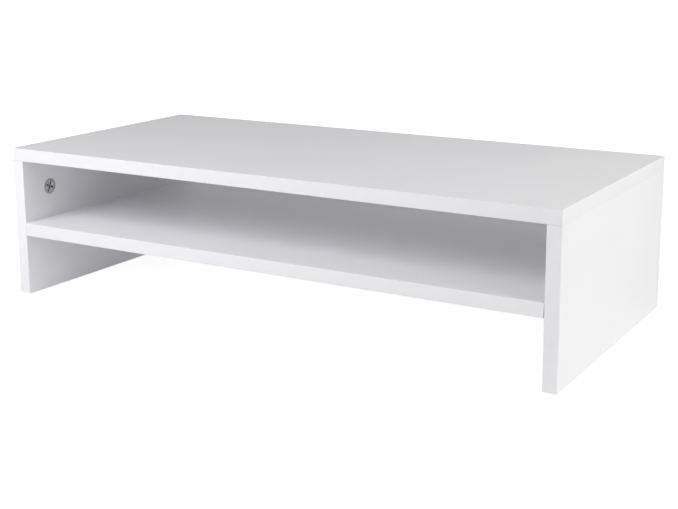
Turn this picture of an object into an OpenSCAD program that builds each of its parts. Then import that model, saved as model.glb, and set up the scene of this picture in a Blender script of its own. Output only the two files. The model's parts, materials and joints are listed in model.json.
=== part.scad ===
// Two-tier monitor riser stand: four faced chipboards, banded edges and blind cam fittings.
// Origin at the centre of the footprint, on the desk. +X right, the front faces -Y, +Z up.

/* [Stand] */
// Overall width, side to side
stand_w = 540; // [420:1:700]
// Overall depth, front to back
stand_d = 255; // [220:1:320]
// Overall height, desk to top surface
stand_h = 140; // [125:1:180]
// Thickness of all four boards
board_t = 12; // [12:1:18]
// Clear height between the desk and the shelf
under_shelf_h = 57; // [20:1:70]

/* [Edge bands] */
// Thickness of the plastic band on each visible board edge
band_t = 1; // [0.5:0.1:2]
// Radius that eases the outer corners of a band
band_ease = 0.5; // [0.2:0.1:1]
// The same on the bands at the ends of the top, which lie flush with the side boards' faces
end_ease = 0.2; // [0.1:0.1:1]

/* [Fittings] */
// Front or back face to the nearest cam bolt
bolt_inset = 34; // [25:1:45]
// Cam bolt to the dowel beside it
dowel_pitch = 32; // [20:1:40]
// Face of the joint to the centre of the cam
cam_reach = 29; // [24:1:34]
// Diameter of the bore that the cam lock turns in
cam_bore_d = 15; // [15:0.5:16]
// Turn of a cam lock from locked to open, in degrees
cam_turn = 190; // [150:5:200]
// Diameter of a wooden dowel
dowel_d = 6; // [5:0.5:6]
// Length of a wooden dowel
dowel_l = 25; // [20:1:30]

/* [Hidden] */
$fn = 48;
cut = 1;                                // how far a cutting shape runs past the face it opens

// Boards
side_h = stand_h - board_t;
inner_w = stand_w - 2 * board_t;
core_d = stand_d - 2 * band_t;          // depth of a board without its two bands

// Joints: an axis lies in the middle of the board that the cam sits in
half_t = board_t / 2;
bolt_y = stand_d / 2 - bolt_inset;
dowel_y = bolt_y - dowel_pitch;

// Cam bolt
head_r = 3.2;
head_l = 2.2;
head_gap = 2;                           // centre of the cam to the tip of the head
neck_r = 1.9;
shank_r = 2.8;
collar_r = 3.4;
collar_l = 1.2;
bolt_bore_r = 3.5;
thread_pitch = 1.6;
thread_turns = 5;
thread_r = 3;
core_r = 2.3;
pilot_r = 2.5;
thread_l = thread_pitch * thread_turns;
head_u = cam_reach - head_gap;          // tip of the head, measured from the joint
shoulder_u = head_u - head_l;
head_ramp = 0.4;
nose_l = 0.7;
tip_chamfer = 0.4;
slot_w = 0.9;                           // cross slot in the head's tip

// Cam lock
cam_fit = 0.05;                         // radial clearance in its bore
cam_r = cam_bore_d / 2 - cam_fit;
neck_u = cam_reach - cam_r - 0.3;       // the neck starts just outside the cam
neck_ramp = 0.5;
cam_sink = 0.2;                         // how far its face lies below the board's face
cam_face = half_t - cam_sink;
cam_foot = -head_r - 0.1;
cam_bore_foot = cam_foot - 0.2;
cavity_top = head_r + 0.2;
cam_wall_r = norm([head_gap + head_l, head_r]) + 0.05;  // inside of the wall where it locks
cam_rise = 0.9;                         // how far the spiral backs off when the cam is open
cavity_half = head_r + 0.1;
mouth_half = head_r + 0.2;
neck_half = neck_r + 0.1;
post_r = head_gap - 0.2;
rim_chamfer = 0.4;
ring_groove = [5.7, 6.5, 0.4];          // inner radius, outer radius, depth
cross_l = 10.4;
cross_w = 1.8;
cross_depth = 1.8;
cross_turn = -22;                       // from the bolt's line, in degrees
cross_hole_r = 1.5;
cross_hole_depth = 4;
arc_step = 10;

// Dowel
dowel_fit = 0.05;                       // radial clearance in its holes
dowel_in = 8.5;                         // length that sits in the drilled face of the other board
hole_end = 0.5;                         // free depth past the end of a dowel or a thread
dowel_chamfer = 0.8;
flutes = 16;
flute_r = 0.35;

function side_name(s) = s < 0 ? "left" : "right";
function end_name(e) = e < 0 ? "front" : "back";

// Each joint is [name, board that holds the cam's bolt side, side, end]
JOINTS = [for (k = ["top", "shelf"]) for (s = [-1, 1]) for (e = [-1, 1])
    [str(k, "_", side_name(s), "_", end_name(e)), k, s, e]];

// ---- Placing a joint -------------------------------------------------------------
// In a joint's own frame the joint's face is x = 0, the board with the cam is x > 0,
// its middle plane is z = 0, and the cam's face looks along +z.

module at_joint(kind, s, y) {
    turn = s > 0 ? 180 : 0;
    if (kind == "top") {
        translate([s * (stand_w - board_t) / 2, y, side_h]) rotate([0, 90, turn]) children();
    } else {
        translate([s * inner_w / 2, y, under_shelf_h + half_t]) rotate([180, 0, turn]) children();
    }
}

module rod(x0, x1, r) {
    translate([x0, 0, 0]) rotate([0, 90, 0]) cylinder(r = r, h = x1 - x0);
}

// ---- Drilling --------------------------------------------------------------------

module cam_side_holes(kind, s) {
    for (e = [-1, 1]) {
        at_joint(kind, s, e * bolt_y) {
            rod(-cut, cam_reach, bolt_bore_r);
            translate([cam_reach, 0, cam_bore_foot])
                cylinder(d = cam_bore_d, h = half_t - cam_bore_foot + cut);
        }
        at_joint(kind, s, e * dowel_y)
            rod(-cut, dowel_l - dowel_in + hole_end, dowel_d / 2 + dowel_fit);
    }
}

module bolt_side_holes(kind, s) {
    for (e = [-1, 1]) {
        at_joint(kind, s, e * bolt_y) rod(-thread_l - hole_end, cut, pilot_r);
        at_joint(kind, s, e * dowel_y) rod(-dowel_in - hole_end, cut, dowel_d / 2 + dowel_fit);
    }
}

// ---- Boards ----------------------------------------------------------------------

module top_board() {
    color("white") difference() {
        translate([0, 0, side_h + half_t]) cube([stand_w - 2 * band_t, core_d, board_t], center = true);
        for (s = [-1, 1]) bolt_side_holes("top", s);
    }
}

module shelf_board() {
    color("white") difference() {
        translate([0, 0, under_shelf_h + half_t]) cube([inner_w, core_d, board_t], center = true);
        for (s = [-1, 1]) cam_side_holes("shelf", s);
    }
}

module side_board(s) {
    color("white") difference() {
        translate([s * (stand_w - board_t) / 2, 0, side_h / 2])
            cube([board_t, core_d, side_h], center = true);
        cam_side_holes("top", s);
        bolt_side_holes("shelf", s);
    }
}

// ---- Edge bands ------------------------------------------------------------------

// A strip with its back on y = 0, centred on x = 0, and its two outer corners eased
module eased_strip(len, radius) {
    r = min(radius, band_t);
    difference() {
        translate([-len / 2, -band_t]) square([len, band_t]);
        for (m = [0, 1]) mirror([m, 0]) translate([len / 2 - r, -band_t + r]) difference() {
            translate([0, -r - cut]) square(r + cut);
            circle(r = r);
        }
    }
}

// A band along x on the front of a board that lies flat, its underside at z = 0
module flat_band(len, radius) {
    translate([0, 0, half_t]) rotate([90, 0, 90])
        linear_extrude(height = len, center = true) rotate([0, 0, -90]) eased_strip(board_t, radius);
}

// Turns what is drawn for the front edge to the front (-1) or the back (1) edge
module on_edge(e) {
    rotate([0, 0, e < 0 ? 0 : 180]) translate([0, -core_d / 2, 0]) children();
}

module top_band(e) {
    color("whitesmoke") translate([0, 0, side_h]) on_edge(e) intersection() {
        flat_band(stand_w, band_ease);
        linear_extrude(height = board_t) eased_strip(stand_w, band_ease);
    }
}

module top_end_band(s) {
    color("whitesmoke") rotate([0, 0, s * 90])
        translate([0, -stand_w / 2 + band_t, side_h]) flat_band(core_d, end_ease);
}

module shelf_band(e) {
    color("whitesmoke") translate([0, 0, under_shelf_h]) on_edge(e) flat_band(inner_w, band_ease);
}

module side_band(s, e) {
    color("whitesmoke") translate([s * (stand_w - board_t) / 2, 0, 0])
        on_edge(e) linear_extrude(height = side_h) eased_strip(board_t, band_ease);
}

// ---- Cam lock --------------------------------------------------------------------

// In the cam's own frame the bolt comes in along +x when locked, and round to -cam_turn when open.
// This is the sector that its head or neck sweeps.
module sweep(r0, r1) {
    polygon(concat([[0, 0]], [for (a = [0 : arc_step : cam_turn])
        (r0 + (r1 - r0) * a / cam_turn) * [cos(a), -sin(a)]]));
}

module cam_cavity() {
    translate([0, 0, cam_foot - cut]) linear_extrude(height = cavity_top - cam_foot + cut) {
        sweep(cam_wall_r, cam_wall_r + cam_rise);
        intersection() {
            circle(r = cam_wall_r);
            translate([0, -cavity_half]) square([cam_r, 2 * cavity_half]);
        }
        rotate([0, 0, -cam_turn]) translate([0, -mouth_half]) square([cam_r + cut, 2 * mouth_half]);
    }
    translate([0, 0, -neck_half]) linear_extrude(height = 2 * neck_half) {
        sweep(cam_r + cut, cam_r + cut);
        translate([0, -neck_half]) square([cam_r + cut, 2 * neck_half]);
    }
}

module cam_drive() {
    for (a = [0, 90]) rotate([0, 0, cross_turn + a])
        translate([-cross_l / 2, -cross_w / 2, cam_face - cross_depth])
            cube([cross_l, cross_w, cross_depth + cut]);
    translate([0, 0, cam_face - cross_hole_depth]) cylinder(r = cross_hole_r, h = cross_hole_depth + cut);
}

module cam_lock(j) {
    color("silver") at_joint(j[1], j[2], j[3] * bolt_y)
    translate([cam_reach, 0, 0]) rotate([0, 0, 180]) difference() {
        union() {
            difference() {
                translate([0, 0, cam_foot]) cylinder(r = cam_r, h = cam_face - rim_chamfer - cam_foot);
                cam_cavity();
            }
            translate([0, 0, cam_face - rim_chamfer])
                cylinder(r1 = cam_r, r2 = cam_r - rim_chamfer, h = rim_chamfer);
            translate([0, 0, cam_foot]) cylinder(r = post_r, h = cam_face - rim_chamfer - cam_foot);
        }
        cam_drive();
        translate([0, 0, cam_face - ring_groove[2]]) difference() {
            cylinder(r = ring_groove[1], h = ring_groove[2] + cut);
            cylinder(r = ring_groove[0], h = ring_groove[2] + cut);
        }
    }
}

// ---- Cam bolt --------------------------------------------------------------------

// One turn of thread as [share of the pitch, radius]
thread_tooth = [[0.15, core_r], [0.5, thread_r], [0.65, thread_r]];

// Half outlines as [distance along the bolt, radius], from the thread's tip to the head
thread_outline = [for (i = [0 : thread_turns - 1]) for (p = thread_tooth)
    [-thread_l + (i + p[0]) * thread_pitch, p[1]]];
bolt_outline = concat(
    [[-thread_l, 0], [-thread_l, core_r - tip_chamfer]],
    thread_outline,
    [[0, core_r], [0, collar_r], [collar_l, collar_r], [collar_l, shank_r],
     [neck_u - neck_ramp, shank_r], [neck_u, neck_r],
     [shoulder_u - head_ramp, neck_r], [shoulder_u, head_r], [head_u - nose_l, head_r],
     [head_u, head_r - nose_l], [head_u, 0]]);

module cam_bolt(j) {
    color("lightgray") at_joint(j[1], j[2], j[3] * bolt_y) difference() {
        rotate([0, 90, 0]) rotate_extrude() polygon([for (p = bolt_outline) [p[1], p[0]]]);
        for (a = [0, 90]) rotate([a, 0, 0])
            translate([head_u - head_l / 2, -slot_w / 2, -head_r]) cube([head_l, slot_w, 2 * head_r]);
    }
}

// ---- Dowel -----------------------------------------------------------------------

module dowel(j) {
    color("burlywood") at_joint(j[1], j[2], j[3] * dowel_y) translate([-dowel_in, 0, 0]) intersection() {
        rotate([0, 90, 0]) linear_extrude(height = dowel_l) difference() {
            circle(d = dowel_d);
            for (i = [0 : flutes - 1]) rotate([0, 0, i * 360 / flutes])
                translate([dowel_d / 2, 0]) circle(r = flute_r);
        }
        rotate([0, 90, 0]) union() {
            cylinder(d1 = dowel_d - 2 * dowel_chamfer, d2 = dowel_d, h = dowel_chamfer);
            translate([0, 0, dowel_chamfer]) cylinder(d = dowel_d, h = dowel_l - 2 * dowel_chamfer);
            translate([0, 0, dowel_l - dowel_chamfer])
                cylinder(d1 = dowel_d, d2 = dowel_d - 2 * dowel_chamfer, h = dowel_chamfer);
        }
    }
}

// ---- Nodes -----------------------------------------------------------------------

top_board();
shelf_board();
side_board(-1);  // left_side_board
side_board(1);  // right_side_board
for (s = [-1, 1])
    top_end_band(s);
for (e = [-1, 1]) {
    top_band(e);
    shelf_band(e);
    for (s = [-1, 1])
        side_band(s, e);
}
for (j = JOINTS) {
    cam_lock(j);
    cam_bolt(j);
    dowel(j);
}
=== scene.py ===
"""Looks of the two-tier monitor riser stand: faced chipboards, edge bands, cam fittings and dowels."""
import json
import math

import bmesh
import bpy
from mathutils import Matrix, Vector


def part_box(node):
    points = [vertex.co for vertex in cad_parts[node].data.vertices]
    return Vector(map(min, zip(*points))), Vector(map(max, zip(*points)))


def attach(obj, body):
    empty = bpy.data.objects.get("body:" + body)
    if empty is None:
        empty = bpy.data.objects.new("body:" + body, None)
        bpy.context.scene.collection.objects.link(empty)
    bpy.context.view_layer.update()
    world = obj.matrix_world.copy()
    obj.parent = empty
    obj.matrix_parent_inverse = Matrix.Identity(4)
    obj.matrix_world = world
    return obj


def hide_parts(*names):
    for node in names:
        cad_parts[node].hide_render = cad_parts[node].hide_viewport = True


MM = 0.001

# Edge bands
TOUCHING = 0.01 * MM         # two places closer than this are the same
LONG = 1.0 * MM              # an edge that reaches further than this runs along its strip
OUTER_EASE = 0.5 * MM        # radius on the outer corners of a band
END_EASE = 0.2 * MM          # the same on the bands at the ends of the top
GLUE_EASE = 0.07 * MM        # nick that shows as the glue joint beside the board
END_NICK = 0.3 * MM          # trimmed corner where a band ends against another board
LEG_GAP = 0.04 * MM          # how much shorter than its edge a side board's band is cut, at each end
SHELF_GAP = 0.12 * MM        # the same for the shelf's bands, at their upper corners
SHELF_SLANT = 0.45 * MM      # extra at their lower corners: the ends are not cut quite square
END_STEPS = 2
EASE_STEPS = 5
MERGE = 0.002 * MM           # corners closer than this become one

# Boards
FACING = 0.25 * MM           # thickness of the melamine facing
WHITE = (0.900, 0.899, 0.925)
SPECK = (0.6, 0.6, 0.6, 1)   # colour that the fine specks and streaks lean to

# Cam locks
CAM_FLAT = math.radians(1)   # faces closer in slope than this are one flat face
CAM_SHARP = math.radians(40)
CAM_ROUND = 0.12 * MM        # radius on its sharp corners
CROSS_SHADE_TOP = 0.25 * MM        # depth at which painted shade starts in the driver's cross
CROSS_SHADE_DEEP = 0.8 * MM        # and where it is darkest
CROSS_SHADE_GREY = 0.02            # grey of that painted shade

# Cam bolts, measured from the tip of the head
FILLET = 0.1 * MM            # unit of the small turned corners
HEAD_R = 3.2 * MM
HEAD_L = 2.2 * MM
NOSE_L = 0.7 * MM
NECK_R = 1.9 * MM
SHANK_R = 2.8 * MM
COLLAR_R = 3.4 * MM
COLLAR_L = 1.2 * MM
CORE_R = 2.3 * MM
THREAD_R = 3.0 * MM
THREAD_PITCH = 1.6 * MM
THREAD_L = 8.0 * MM
THREAD_TIP = 0.4 * MM        # plain length in front of the thread
TOOTH_HALF = 0.36            # half a tooth's foot, as a share of the pitch
TOOTH_FLAT = 1.25            # over 1, it cuts the tooth's tip flat
THREAD_ROWS = 100
BOLT_SIDES = 40
NECK_FROM_JOINT = 21.25 * MM
SLOT_W = 0.9 * MM
SLOT_DEPTH = 1.3 * MM

# Dowels
DOWEL_R = 3.0 * MM
DOWEL_CHAMFER = 0.8 * MM
DOWEL_ROWS = 12
FLUTES = 16
FLUTE_DEPTH = 0.3 * MM
FLUTE_SHARE = 0.45           # about this much of the dowel's round is flute
FLUTE_BLUNT = 0.7            # under 1, it widens the flute's floor
SIDES_PER_FLUTE = 10

# Camera: where it stands and which way it looks
CAMERA_AT = (0.569, -0.9454, 0.3308)
CAMERA_YAW = math.radians(30.66)
CAMERA_DOWN = math.radians(11.81)
CAMERA_ROLL = math.radians(-0.22)
CAMERA_LENS = 65.26
CAMERA_SHIFT = -0.0885       # the photograph keeps its uprights nearly parallel
CAMERA_SENSOR = 36

# Studio
FLOOR_SIZE = 8
FLOOR_DROP = 0.1 * MM        # keeps the floor off the boards' sawn undersides
FLOOR_GLOW = 0.11            # light that the floor gives the stand
FLOOR_BRIGHT = 0.70          # extra light that the camera sees on the floor near the stand
FLOOR_WHITE = 1.0            # and far from it
FLOOR_NEAR, FLOOR_FAR = 0.3, 1.0

# Soft lights of the studio sky: azimuth, elevation, tightness and radiance at the middle
SOFT_LIGHTS = ((180, 38, 14, 1.29), (90, 50, 14, 1.04), (0, 0, 3, 1.29), (135, 38, 14, 0.80))

# Lamps: name, place, what they aim at, size, power and colour
COOL = (1.0, 1.0, 1.01)
WARM = (1.0, 1.0, 0.96)
LAMPS = (
    ("front_softbox", (-0.35, -0.75, 0.60), (-0.1, 0, 0.07), 0.5, 3.60, COOL),
    ("left_softbox", (-0.65, -0.60, 0.45), (-0.15, 0, 0.07), 0.4, 0.55, COOL),
    ("right_softbox", (1.20, -0.30, 0.50), (0.2, 0, 0.07), 0.6, 1.90, WARM),
    ("high_right_softbox", (0.85, -0.10, 0.75), (0.1, 0, 0.07), 0.5, 1.65, WARM),
    ("low_right_card", (0.75, 0.15, 0.35), (0.2, 0, 0.07), 0.4, 0.60, WARM),
    ("left_fill", (-1.00, 0.15, 0.07), (-0.27, 0, 0.07), 0.12, 0.90, COOL),
)

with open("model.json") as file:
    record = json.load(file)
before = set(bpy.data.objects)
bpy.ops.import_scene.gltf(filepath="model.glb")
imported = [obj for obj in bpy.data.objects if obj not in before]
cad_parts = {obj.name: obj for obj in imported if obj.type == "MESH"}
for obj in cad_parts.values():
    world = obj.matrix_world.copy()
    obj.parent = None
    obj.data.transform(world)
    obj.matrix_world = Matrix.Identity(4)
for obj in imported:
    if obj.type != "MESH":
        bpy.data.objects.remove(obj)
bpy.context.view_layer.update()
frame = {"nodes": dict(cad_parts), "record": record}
NODES = frame["nodes"]
BODIES = frame["record"]["behaviour"]["bodies"]
BODY_OF = {node: body for body, nodes in BODIES.items() for node in nodes}
JOINTS = [f"{board}_{side}_{end}" for board in ("top", "shelf")
          for side in ("left", "right") for end in ("front", "back")]


# ---- Node helpers ------------------------------------------------------------------

class Graph:
    """Short calls for building a material's node tree."""

    def __init__(self, name):
        self.material = bpy.data.materials.new(name)
        self.material.use_nodes = True
        self.tree = self.material.node_tree
        self.shader = self.tree.nodes["Principled BSDF"]
        self.place = self.add("ShaderNodeTexCoord").outputs["Object"]

    def add(self, kind, inputs=None, **settings):
        node = self.tree.nodes.new(kind)
        for key, value in settings.items():
            setattr(node, key, value)
        for key, value in (inputs or {}).items():
            self.put(node.inputs[key], value)
        return node

    def put(self, socket, value):
        if isinstance(value, bpy.types.NodeSocket):
            self.tree.links.new(value, socket)
        else:
            socket.default_value = value

    def math(self, operation, a, b=0.0):
        node = self.add("ShaderNodeMath", operation=operation)
        self.put(node.inputs[0], a)
        self.put(node.inputs[1], b)
        return node.outputs[0]

    def ramp(self, value, low, high, out_low=0.0, out_high=1.0):
        """Maps low..high to out_low..out_high and holds the ends."""
        node = self.add("ShaderNodeMapRange", interpolation_type="LINEAR", clamp=True)
        for key, number in zip(("Value", "From Min", "From Max", "To Min", "To Max"),
                               (value, low, high, out_low, out_high)):
            self.put(node.inputs[key], number)
        return node.outputs[0]

    def mix(self, factor, a, b):
        node = self.add("ShaderNodeMix", data_type="RGBA")
        self.put(node.inputs["Factor"], factor)
        self.put(node.inputs["A"], a)
        self.put(node.inputs["B"], b)
        return node.outputs["Result"]

    def noise(self, scale, detail=2.0, stretch=None, rough=0.5):
        place = self.place
        if stretch:
            mapping = self.add("ShaderNodeMapping", {"Vector": place, "Scale": stretch})
            place = mapping.outputs[0]
        node = self.add("ShaderNodeTexNoise", {"Vector": place, "Scale": scale, "Detail": detail,
                                               "Roughness": rough})
        return node.outputs["Fac"]

    def cells(self, scale, stretch):
        mapping = self.add("ShaderNodeMapping", {"Vector": self.place, "Scale": stretch})
        return self.add("ShaderNodeTexVoronoi", {"Vector": mapping.outputs[0], "Scale": scale})

    def along(self, axis):
        """The coordinate along one axis, in the frame at rest."""
        return self.add("ShaderNodeSeparateXYZ", {"Vector": self.place}).outputs[axis]

    def open_share(self, distance):
        """1 on open skin, falling towards 0 in corners narrower than the distance."""
        return self.add("ShaderNodeAmbientOcclusion", {"Distance": distance}, samples=8).outputs["AO"]

    def bump(self, height, distance, under=None):
        node = self.add("ShaderNodeBump", {"Height": height, "Distance": distance, "Strength": 1.0})
        if under is not None:
            self.put(node.inputs["Normal"], under)
        return node.outputs[0]

    def finish(self, color, roughness, normal, metallic=0.0, specular=0.5):
        self.put(self.shader.inputs["Base Color"], color)
        self.put(self.shader.inputs["Roughness"], roughness)
        self.put(self.shader.inputs["Normal"], normal)
        self.shader.inputs["Metallic"].default_value = metallic
        self.shader.inputs["Specular IOR Level"].default_value = specular
        return self.material


def grey(value, warm=0.0):
    return (value * (1 + warm), value, value * (1 - warm), 1)


# ---- Materials ---------------------------------------------------------------------

def white(share):
    """The stand's slightly cool white, darker or lighter by a share."""
    return (*(channel * share for channel in WHITE), 1)


def chipboard_look(g):
    """Colour and height of a sawn or drilled chipboard face."""
    coarse = g.cells(420, (1, 1, 1.7))
    fine = g.cells(1500, (1, 1.6, 1))
    tint = g.add("ShaderNodeSeparateColor", {"Color": coarse.outputs["Color"]}).outputs[0]
    flake = g.mix(tint, (0.36, 0.235, 0.125, 1), (0.66, 0.49, 0.31, 1))
    gap = g.ramp(fine.outputs["Distance"], 0.0, 0.6)
    color = g.mix(g.math("MULTIPLY", gap, 0.45), flake, (0.21, 0.13, 0.07, 1))
    height = g.math("ADD", coarse.outputs["Distance"], g.math("MULTIPLY", gap, -0.5))
    return color, height


def board_material(name, axis, low, high):
    """Melamine facing on the two faces across the axis, and raw chipboard everywhere below it."""
    g = Graph(name)
    middle, half = (low + high) / 2, (high - low) / 2
    off_middle = g.math("ABSOLUTE", g.math("SUBTRACT", g.along(axis), middle))
    faced = g.math("GREATER_THAN", off_middle, half - FACING)

    cloud = g.noise(9, 3)
    speck = g.noise(2600, 2)
    pearl = g.noise(850, 3, rough=0.6)
    rub = g.noise(38, 4, rough=0.65)
    facing = g.mix(g.ramp(cloud, 0.35, 0.65), white(0.992), white(1.006))
    facing = g.mix(g.ramp(speck, 0.62, 0.8, 0, 0.05), facing, SPECK)
    gloss = g.ramp(rub, 0.3, 0.75, 0.40, 0.52)

    core, core_height = chipboard_look(g)
    color = g.mix(faced, core, facing)
    roughness = g.ramp(faced, 0, 1, 0.9, gloss)
    relief = g.bump(g.math("MULTIPLY", pearl, faced), 0.08 * MM)
    raw = g.math("MULTIPLY", core_height, g.math("SUBTRACT", 1.0, faced))
    relief = g.bump(raw, 0.4 * MM, relief)
    return g.finish(color, roughness, relief, specular=0.4)


def band_material(name, axis):
    """Extruded ABS strip: very fine streaks along its length and a slightly glossier face."""
    stretch = [1.0, 1.0, 1.0]
    stretch[axis] = 0.012
    g = Graph(name)
    streak = g.noise(2400, 3, stretch=stretch)
    lane = g.noise(420, 2, stretch=stretch)
    cloud = g.noise(14, 3)
    color = g.mix(g.ramp(cloud, 0.3, 0.7), white(0.990), white(1.000))
    color = g.mix(g.ramp(streak, 0.55, 0.8, 0, 0.04), color, SPECK)
    roughness = g.ramp(lane, 0.3, 0.7, 0.34, 0.44)
    relief = g.bump(streak, 0.02 * MM)
    relief = g.bump(g.noise(700, 2), 0.02 * MM, relief)
    return g.finish(color, roughness, relief, specular=0.45)


def zinc_material(name, axis, face):
    """Die-cast zinc: dull grey skin with casting grain, with painted shade in tight corners and down in
    the driver's cross.
    """
    g = Graph(name)
    depth = g.math("ABSOLUTE", g.math("SUBTRACT", g.along(axis), face))
    grain = g.noise(2200, 3)
    flow = g.noise(420, 4, rough=0.65)
    shade = g.open_share(1.2 * MM)
    skin = g.mix(g.ramp(flow, 0.3, 0.7), grey(0.60), grey(0.78, -0.01))
    # painted shade: the skin darkens to near black in grooves and tight corners
    color = g.mix(g.ramp(shade, 0.25, 0.70), grey(CROSS_SHADE_GREY), skin)
    # painted shade: the skin turns near black deep in the driver's cross, where it is enclosed
    closed = g.ramp(shade, 0.55, 0.95, 1, 0)
    deep = g.ramp(depth, CROSS_SHADE_TOP, CROSS_SHADE_DEEP)
    color = g.mix(g.math("MULTIPLY", deep, closed), color, grey(CROSS_SHADE_GREY))
    roughness = g.ramp(flow, 0.3, 0.75, 0.52, 0.36)
    relief = g.bump(grain, 0.05 * MM)
    relief = g.bump(flow, 0.06 * MM, relief)
    return g.finish(color, roughness, relief, metallic=0.7)


def steel_material(name):
    """Bright zinc-plated steel with fine turning marks and a faint blue cast."""
    g = Graph(name)
    plate = g.noise(300, 3)
    marks = g.noise(5200, 2)
    bright = g.mix(g.ramp(plate, 0.35, 0.65), (0.55, 0.57, 0.60, 1), (0.68, 0.70, 0.71, 1))
    # painted shade: the plating turns dark brown-grey in tight corners, such as the slots and the
    # thread's roots
    color = g.mix(g.ramp(g.open_share(0.8 * MM), 0.3, 0.9), (0.16, 0.15, 0.14, 1), bright)
    roughness = g.ramp(plate, 0.3, 0.7, 0.34, 0.24)
    return g.finish(color, roughness, g.bump(marks, 0.015 * MM), metallic=1.0)


def beech_material(name, axis):
    """Steamed beech: pinkish tan, grain and short dark rays along the dowel."""
    stretch = [1.0, 1.0, 1.0]
    stretch[axis] = 0.06
    g = Graph(name)
    grain = g.noise(1300, 4, stretch=stretch, rough=0.6)
    band = g.noise(330, 2, stretch=stretch)
    ray_stretch = [2.6, 2.6, 2.6]
    ray_stretch[axis] = 0.35
    rays = g.cells(700, ray_stretch).outputs["Distance"]
    color = g.mix(g.ramp(band, 0.3, 0.7), (0.60, 0.38, 0.20, 1), (0.72, 0.50, 0.30, 1))
    color = g.mix(g.ramp(grain, 0.45, 0.75, 0, 0.45), color, (0.42, 0.24, 0.11, 1))
    color = g.mix(g.ramp(rays, 0.0, 0.16, 0.55, 0.0), color, (0.30, 0.16, 0.07, 1))
    return g.finish(color, g.ramp(grain, 0.3, 0.7, 0.55, 0.7), g.bump(grain, 0.06 * MM), specular=0.3)


# ---- Mesh helpers ------------------------------------------------------------------

def new_object(name, bm, material, smooth_angle=35):
    mesh = bpy.data.meshes.new(name)
    bmesh.ops.recalc_face_normals(bm, faces=bm.faces)
    bm.to_mesh(mesh)
    bm.free()
    mesh.materials.append(material)
    mesh.polygons.foreach_set("use_smooth", [True] * len(mesh.polygons))
    mesh.set_sharp_from_angle(angle=math.radians(smooth_angle))
    piece = bpy.data.objects.new(name, mesh)
    bpy.context.scene.collection.objects.link(piece)
    return piece


def stand_for(piece, node):
    """Hands a piece over to the frame in place of the CAD node."""
    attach(piece, BODY_OF[node])
    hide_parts(node)


def block(low, high):
    bm = bmesh.new()
    bmesh.ops.create_cube(bm, size=1)
    size = high - low
    middle = (low + high) / 2
    for vert in bm.verts:
        vert.co = Vector(vert.co[i] * size[i] + middle[i] for i in range(3))
    return bm


def lathe(outline, steps, radius_at=None):
    """Turns [distance, radius] points round +X. radius_at(distance, radius, angle) may reshape rings."""
    bm = bmesh.new()
    rings = []
    for distance, radius in outline:
        ring = []
        for i in range(steps):
            angle = 2 * math.pi * i / steps
            r = radius_at(distance, radius, angle) if radius_at else radius
            ring.append(bm.verts.new((distance, r * math.cos(angle), r * math.sin(angle))))
        rings.append(ring)
    for a, b in zip(rings, rings[1:]):
        for i in range(steps):
            j = (i + 1) % steps
            bm.faces.new((a[i], a[j], b[j], b[i]))
    bm.faces.new(list(reversed(rings[0])))
    bm.faces.new(rings[-1])
    return bm


# ---- Edge bands --------------------------------------------------------------------

def lies_on(edge, axis, value):
    """Whether both ends of an edge lie on the plane across the axis."""
    return all(abs(vert.co[axis] - value) < TOUCHING for vert in edge.verts)


def reach(edge, axis):
    return abs(edge.verts[0].co[axis] - edge.verts[1].co[axis])


def ease(bm, edges, radius, steps):
    bmesh.ops.bevel(bm, geom=edges, offset=radius, offset_type="OFFSET", segments=steps, profile=0.5,
                    affect="EDGES", clamp_overlap=True)


def edge_band(node, name, long_axis, out_axis, sign, radius=OUTER_EASE, round_ends=False, gap=0.0,
              slant=0.0):
    """A strip with eased outer corners and a hairline nick along its glued edges.

    It lies along long_axis and faces outwards along out_axis, in the direction of sign.
    gap shortens both ends, and slant shortens them further at their lower corners.
    """
    low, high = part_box(node)
    low[long_axis] += gap
    high[long_axis] -= gap
    outer = high[out_axis] if sign > 0 else low[out_axis]
    inner = low[out_axis] if sign > 0 else high[out_axis]
    middle = (low + high) / 2
    bm = block(low, high)
    for vert in bm.verts:
        if vert.co.z < middle.z:
            vert.co[long_axis] -= math.copysign(slant, vert.co[long_axis] - middle[long_axis])

    glued = [e for e in bm.edges if lies_on(e, out_axis, inner) and reach(e, long_axis) > LONG]
    ease(bm, glued, GLUE_EASE, 1)
    front = [e for e in bm.edges if lies_on(e, out_axis, outer)
             and (round_ends or reach(e, long_axis) > LONG)]
    ease(bm, front, radius, EASE_STEPS)
    if gap:
        ends = [e for e in bm.edges if lies_on(e, out_axis, outer) and reach(e, long_axis) < LONG]
        ease(bm, ends, END_NICK, END_STEPS)
        bmesh.ops.remove_doubles(bm, verts=bm.verts, dist=MERGE)
        bmesh.ops.dissolve_degenerate(bm, edges=bm.edges, dist=MERGE)
    piece = new_object(name, bm, band_material(f"edge_band_{name}", long_axis))
    stand_for(piece, node)


def make_bands():
    for end, sign in (("front", -1), ("back", 1)):
        edge_band(f"top_band_{end}", f"top_{end}_edge_band", 0, 1, sign, round_ends=True)
        edge_band(f"shelf_band_{end}", f"shelf_{end}_edge_band", 0, 1, sign,
                  gap=SHELF_GAP, slant=SHELF_SLANT)
        for side in ("left", "right"):
            edge_band(f"{side}_side_band_{end}", f"{side}_side_{end}_edge_band", 2, 1, sign, gap=LEG_GAP)
    for side, sign in (("left", -1), ("right", 1)):
        edge_band(f"top_band_{side}", f"top_{side}_edge_band", 1, 0, sign, radius=END_EASE)


# ---- Boards ------------------------------------------------------------------------

def dress_board(node, axis):
    low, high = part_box(node)
    board = NODES[node]
    board.data.materials.clear()
    board.data.materials.append(board_material(f"melamine_{node}", axis, low[axis], high[axis]))


def make_boards():
    """Dresses each board, with the axis that its faces lie across."""
    for node in ("top_board", "shelf_board"):
        dress_board(node, 2)
    for node in ("left_side_board", "right_side_board"):
        dress_board(node, 0)


# ---- Cam locks ---------------------------------------------------------------------

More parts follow.
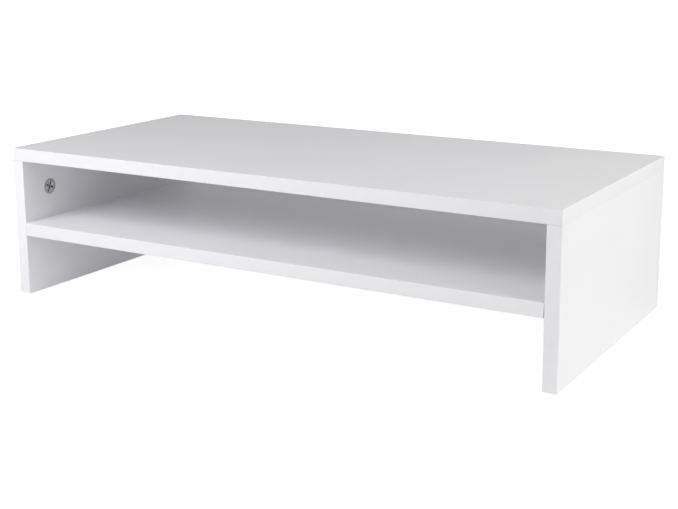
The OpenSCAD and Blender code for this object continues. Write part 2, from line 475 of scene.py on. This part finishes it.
def soften(obj):
    """Rounds the sharp corners of a cam with modifiers, so its own mesh stays as it is."""
    weld = obj.modifiers.new("weld", "WELD")
    weld.merge_threshold = MERGE
    flat = obj.modifiers.new("flat", "DECIMATE")
    flat.decimate_type = "DISSOLVE"
    flat.angle_limit = CAM_FLAT
    bevel = obj.modifiers.new("round", "BEVEL")
    bevel.width = CAM_ROUND
    bevel.segments = 2
    bevel.limit_method = "ANGLE"
    bevel.angle_limit = CAM_SHARP
    bevel.use_clamp_overlap = True
    bevel.harden_normals = True


def make_cams():
    for joint in JOINTS:
        node = f"cam_lock_{joint}"
        low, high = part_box(node)
        axis = 0 if joint.startswith("top") else 2
        face = high if joint.startswith("top_left") else low
        cam = NODES[node]
        cam.data.materials.clear()
        cam.data.materials.append(zinc_material(f"die_cast_zinc_{joint}", axis, face[axis]))
        soften(cam)


# ---- Bolts and dowels --------------------------------------------------------------

def along_joint(node, joint):
    """The matrix that takes a mesh drawn along +X, from the cam's end, to where the CAD node lies."""
    low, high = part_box(node)
    middle = (low + high) / 2
    if joint.startswith("top"):
        return Matrix.Translation((middle.x, middle.y, low.z)) @ Matrix.Rotation(-math.pi / 2, 4, "Y")
    if "left" in joint:
        return Matrix.Translation((high.x, middle.y, middle.z)) @ Matrix.Rotation(math.pi, 4, "Z")
    return Matrix.Translation((low.x, middle.y, middle.z))


def thread_height(distance, angle, start, end):
    """Share of the full thread depth at a point on the bolt's skin."""
    turn = ((distance - start) / THREAD_PITCH - angle / (2 * math.pi)) % 1.0
    tooth = max(0.0, 1 - abs(turn - 0.5) / TOOTH_HALF)
    run_in = min(1.0, (distance - start) / THREAD_PITCH)
    run_out = min(1.0, (end - distance) / THREAD_PITCH)
    return min(1.0, tooth * TOOTH_FLAT) * max(0.0, min(run_in, run_out))


def bolt_mesh(length):
    """One turned bolt: slotted head, neck, shank, collar, and a thread that winds round its core."""
    joint = length - THREAD_L
    neck_end = joint - NECK_FROM_JOINT
    collar = joint - COLLAR_L
    thread_start = joint + 0.1 * FILLET
    thread_end = length - THREAD_TIP
    turned = [(0, HEAD_R - NOSE_L), (NOSE_L * 0.3, HEAD_R - NOSE_L * 0.35), (NOSE_L, HEAD_R),
              (HEAD_L, HEAD_R), (HEAD_L + 2.5 * FILLET, HEAD_R - 3 * FILLET),
              (HEAD_L + 4 * FILLET, NECK_R), (neck_end, NECK_R), (neck_end + 5 * FILLET, SHANK_R),
              (collar - FILLET, SHANK_R), (collar, COLLAR_R - FILLET), (collar + FILLET, COLLAR_R),
              (joint - FILLET, COLLAR_R), (joint, COLLAR_R - FILLET), (thread_start, CORE_R)]
    screw_length = THREAD_L - 5 * FILLET
    screw = [(thread_start + screw_length * i / THREAD_ROWS, CORE_R) for i in range(1, THREAD_ROWS + 1)]
    tip = [(length - 2 * FILLET, CORE_R - 1.5 * FILLET), (length, CORE_R - 5 * FILLET)]

    def radius_at(distance, radius, angle):
        if not joint < distance < thread_end:
            return radius
        return radius + (THREAD_R - CORE_R) * thread_height(distance, angle, joint, thread_end)

    return lathe(turned + screw + tip, BOLT_SIDES, radius_at)


def cut_slots(piece):
    """Cuts the cross slot in the head with two bars, a little longer than the head is wide."""
    bm = bmesh.new()
    for turn in (0, 90):
        spin = Matrix.Rotation(math.radians(turn), 4, "X")
        bar = bmesh.ops.create_cube(bm, size=1)["verts"]
        bmesh.ops.scale(bm, vec=(2 * SLOT_DEPTH, SLOT_W, 2.2 * HEAD_R), verts=bar)
        bmesh.ops.transform(bm, matrix=spin, verts=bar)
    cutter = new_object("slot_cutter", bm, piece.data.materials[0])
    cut = piece.modifiers.new("slots", "BOOLEAN")
    cut.operation = "DIFFERENCE"
    cut.solver = "EXACT"
    cut.use_self = True
    cut.object = cutter
    bpy.context.view_layer.update()
    shaped = bpy.data.meshes.new_from_object(piece.evaluated_get(bpy.context.evaluated_depsgraph_get()))
    piece.modifiers.clear()
    piece.data = shaped
    bpy.data.objects.remove(cutter)


def dowel_mesh(length):
    """A chamfered dowel with pressed flutes that fade out at its ends."""
    outline = [(0, DOWEL_R - DOWEL_CHAMFER), (DOWEL_CHAMFER * 0.5, DOWEL_R - DOWEL_CHAMFER * 0.4),
               (DOWEL_CHAMFER, DOWEL_R)]
    straight = length - 2 * DOWEL_CHAMFER
    outline += [(DOWEL_CHAMFER + straight * i / DOWEL_ROWS, DOWEL_R) for i in range(1, DOWEL_ROWS)]
    outline += [(length - distance, radius) for distance, radius in reversed(outline[:3])]

    def radius_at(distance, radius, angle):
        wave = 0.5 - 0.5 * math.cos(FLUTES * angle)
        groove = max(0.0, 1 - wave / FLUTE_SHARE) ** FLUTE_BLUNT
        inside = min(1.0, max(0.0, (radius - (DOWEL_R - DOWEL_CHAMFER)) / DOWEL_CHAMFER))
        return radius - FLUTE_DEPTH * groove * inside

    return lathe(outline, FLUTES * SIDES_PER_FLUTE, radius_at)


def place_copies(source, kind, name, materials):
    """Puts a copy of the pattern piece at every joint, with the material for the axis it lies along."""
    for joint in JOINTS:
        node = f"{kind}_{joint}"
        mesh = source.data.copy()
        mesh.transform(along_joint(node, joint))
        mesh.materials.clear()
        mesh.materials.append(materials[0 if joint.startswith("shelf") else 2])
        piece = bpy.data.objects.new(f"{name}_{joint}", mesh)
        bpy.context.scene.collection.objects.link(piece)
        stand_for(piece, node)
    bpy.data.objects.remove(source)


def height(node):
    low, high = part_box(node)
    return high.z - low.z


def make_bolts_and_dowels():
    steel = steel_material("plated_steel")
    bolt = new_object("bolt_pattern", bolt_mesh(height("cam_bolt_top_left_front")), steel, 30)
    cut_slots(bolt)
    place_copies(bolt, "cam_bolt", "threaded_cam_bolt", {0: steel, 2: steel})

    beech = {axis: beech_material(f"beech_{axis}", axis) for axis in (0, 2)}
    dowel = new_object("dowel_pattern", dowel_mesh(height("dowel_top_left_front")), beech[0], 40)
    place_copies(dowel, "dowel", "fluted_dowel", beech)


# ---- Stage, light and camera -------------------------------------------------------

def make_floor():
    bm = bmesh.new()
    bmesh.ops.create_grid(bm, x_segments=1, y_segments=1, size=FLOOR_SIZE)
    g = Graph("studio_floor")
    color = g.mix(g.ramp(g.noise(6, 2), 0.3, 0.7), grey(0.84), grey(0.86))
    g.finish(color, 0.9, g.bump(g.noise(300, 2), 0.02 * MM), specular=0.0)
    g.shader.inputs["Emission Color"].default_value = (1, 1, 1, 1)
    away = g.add("ShaderNodeVectorMath", {0: g.place}, operation="LENGTH").outputs["Value"]
    bright = g.ramp(away, FLOOR_NEAR, FLOOR_FAR, FLOOR_BRIGHT, FLOOR_WHITE)
    seen = g.add("ShaderNodeLightPath").outputs["Is Camera Ray"]
    g.put(g.shader.inputs["Emission Strength"], g.ramp(seen, 0, 1, FLOOR_GLOW, bright))
    floor = new_object("floor", bm, g.material)
    floor.location.z = -FLOOR_DROP


def area_light(name, at, aim, size, power, color):
    light = bpy.data.lights.new(name, "AREA")
    light.color = color
    light.size = size
    light.energy = power
    lamp = bpy.data.objects.new(name, light)
    lamp.location = at
    lamp.rotation_euler = (Vector(aim) - Vector(at)).to_track_quat("-Z", "Y").to_euler()
    bpy.context.scene.collection.objects.link(lamp)


def direction(azimuth, elevation):
    """Unit vector for a compass azimuth (0 is +Y, 90 is +X) and an elevation, in degrees."""
    a, e = math.radians(azimuth), math.radians(elevation)
    return (math.sin(a) * math.cos(e), math.cos(a) * math.cos(e), math.sin(e))


def make_sky():
    world = bpy.data.worlds.new("studio")
    bpy.context.scene.world = world
    world.use_nodes = True
    tree = world.node_tree
    nodes, links = tree.nodes, tree.links
    view = nodes.new("ShaderNodeTexCoord").outputs["Generated"]
    total = None
    for azimuth, elevation, tightness, radiance in SOFT_LIGHTS:
        dot = nodes.new("ShaderNodeVectorMath")
        dot.operation = "DOT_PRODUCT"
        dot.inputs[1].default_value = direction(azimuth, elevation)
        links.new(view, dot.inputs[0])
        value = dot.outputs["Value"]
        for operation, number in (("MAXIMUM", 0.0), ("POWER", tightness), ("MULTIPLY", radiance)):
            step = nodes.new("ShaderNodeMath")
            step.operation = operation
            step.inputs[1].default_value = number
            links.new(value, step.inputs[0])
            value = step.outputs[0]
        if total is None:
            total = value
        else:
            add = nodes.new("ShaderNodeMath")
            links.new(total, add.inputs[0])
            links.new(value, add.inputs[1])
            total = add.outputs[0]
    lit = nodes["Background"]
    lit.inputs["Color"].default_value = (1, 1, 1, 1)
    links.new(total, lit.inputs["Strength"])
    backdrop = nodes.new("ShaderNodeBackground")
    backdrop.inputs["Color"].default_value = (1, 1, 1, 1)
    choose = nodes.new("ShaderNodeMixShader")
    links.new(nodes.new("ShaderNodeLightPath").outputs["Is Camera Ray"], choose.inputs[0])
    links.new(lit.outputs[0], choose.inputs[1])
    links.new(backdrop.outputs[0], choose.inputs[2])
    links.new(choose.outputs[0], nodes["World Output"].inputs["Surface"])


def make_camera():
    lens = bpy.data.cameras.new("camera")
    lens.lens = CAMERA_LENS
    lens.sensor_width = CAMERA_SENSOR
    lens.shift_y = CAMERA_SHIFT
    lens.clip_start = 0.01
    camera = bpy.data.objects.new("camera", lens)
    camera.matrix_world = (Matrix.Translation(CAMERA_AT) @ Matrix.Rotation(CAMERA_YAW, 4, "Z")
                           @ Matrix.Rotation(math.pi / 2 - CAMERA_DOWN, 4, "X")
                           @ Matrix.Rotation(CAMERA_ROLL, 4, "Z"))
    bpy.context.scene.collection.objects.link(camera)
    bpy.context.scene.camera = camera


def make_studio():
    bpy.context.scene.view_settings.view_transform = "Standard"
    make_floor()
    make_sky()
    for lamp in LAMPS:
        area_light(*lamp)
    make_camera()


make_studio()
make_boards()
make_bands()
make_cams()
make_bolts_and_dowels()
